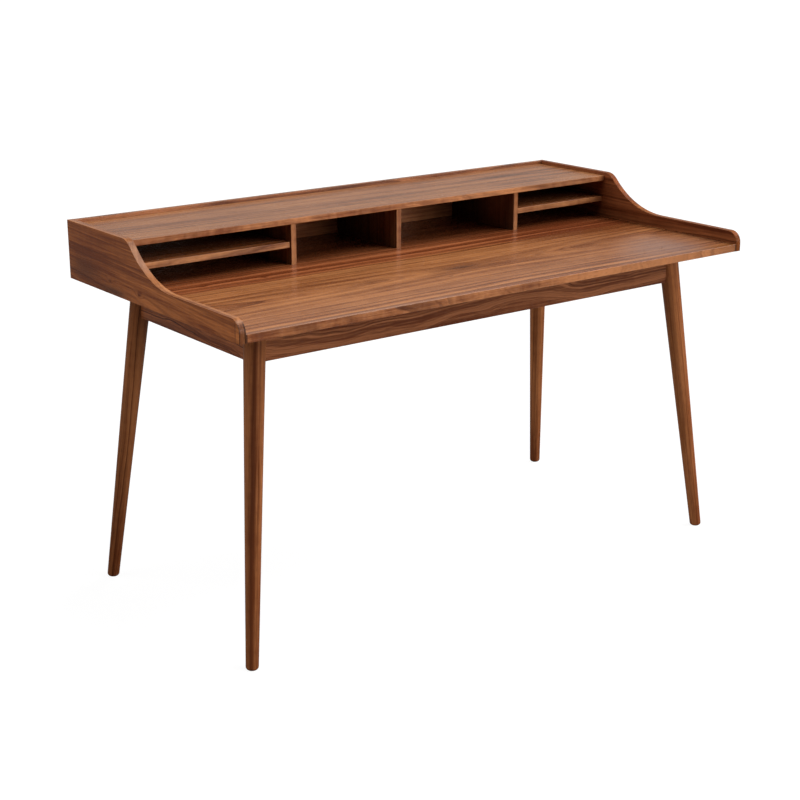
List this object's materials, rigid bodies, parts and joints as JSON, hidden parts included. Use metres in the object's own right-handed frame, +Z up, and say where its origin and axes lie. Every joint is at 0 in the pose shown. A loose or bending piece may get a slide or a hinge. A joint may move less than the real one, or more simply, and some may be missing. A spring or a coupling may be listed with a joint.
{
  "type": "writing desk",
  "caption": "Walnut writing desk with a low open hutch between S-curved side panels, on a railed base with splayed, tapered round legs.",
  "frame": {"origin": "on the floor below the middle of the side panels' outline", "axes": "+Z up, +X along the width to the sitter's right, +Y away from the sitter towards the back panel"},
  "size_m": [1.446, 0.728, 0.867],
  "materials": {
    "walnut_veneer": "satin lacquer, long dark streaks",
    "walnut_solid": "satin lacquer, grain along the piece",
    "beech": "raw planed hardwood",
    "beech_dowel": "raw fluted dowel",
    "nickel_plated_steel": "satin nickel",
    "zinc_plated_steel": "bright zinc"
  },
  "bodies": {
    "desk": {"back_panel": "walnut_veneer", "back_panel_dowels": "beech_dowel", "bearer_dowels": "beech_dowel", "bearer_screws": "zinc_plated_steel", "bracket_screws": "zinc_plated_steel", "centre_bearer": "beech", "centre_divider": "walnut_veneer", "corner_block_screws": "zinc_plated_steel", "desktop": "walnut_veneer", "divider_dowels": "beech_dowel", "front_left_corner_block": "beech", "front_left_leg": "walnut_solid", "front_rail": "walnut_solid", "front_right_corner_block": "beech", "front_right_leg": "walnut_solid", "hutch_top": "walnut_veneer", "hutch_top_dowels": "beech_dowel", "left_divider": "walnut_veneer", "left_shelf_supports": "nickel_plated_steel", "left_side_panel": "walnut_veneer", "left_side_rail": "walnut_solid", "leg_bolts": "zinc_plated_steel", "leg_nuts": "zinc_plated_steel", "leg_washers": "zinc_plated_steel", "rear_left_corner_block": "beech", "rear_left_leg": "walnut_solid", "rear_rail": "walnut_solid", "rear_right_corner_block": "beech", "rear_right_leg": "walnut_solid", "right_divider": "walnut_veneer", "right_shelf_supports": "nickel_plated_steel", "right_side_panel": "walnut_veneer", "right_side_rail": "walnut_solid", "side_panel_dowels": "beech_dowel", "top_brackets": "zinc_plated_steel"},
    "left_shelf": {"left_shelf": "walnut_veneer"},
    "right_shelf": {"right_shelf": "walnut_veneer"}
  },
  "joints": [
    {"name": "left_shelf_pull", "type": "slide", "parent": "desk", "child": "left_shelf", "axis": [0, -1, 0], "range_m": [0, 0.2]},
    {"name": "right_shelf_pull", "type": "slide", "parent": "desk", "child": "right_shelf", "axis": [0, -1, 0], "range_m": [0, 0.2]}
  ]
}
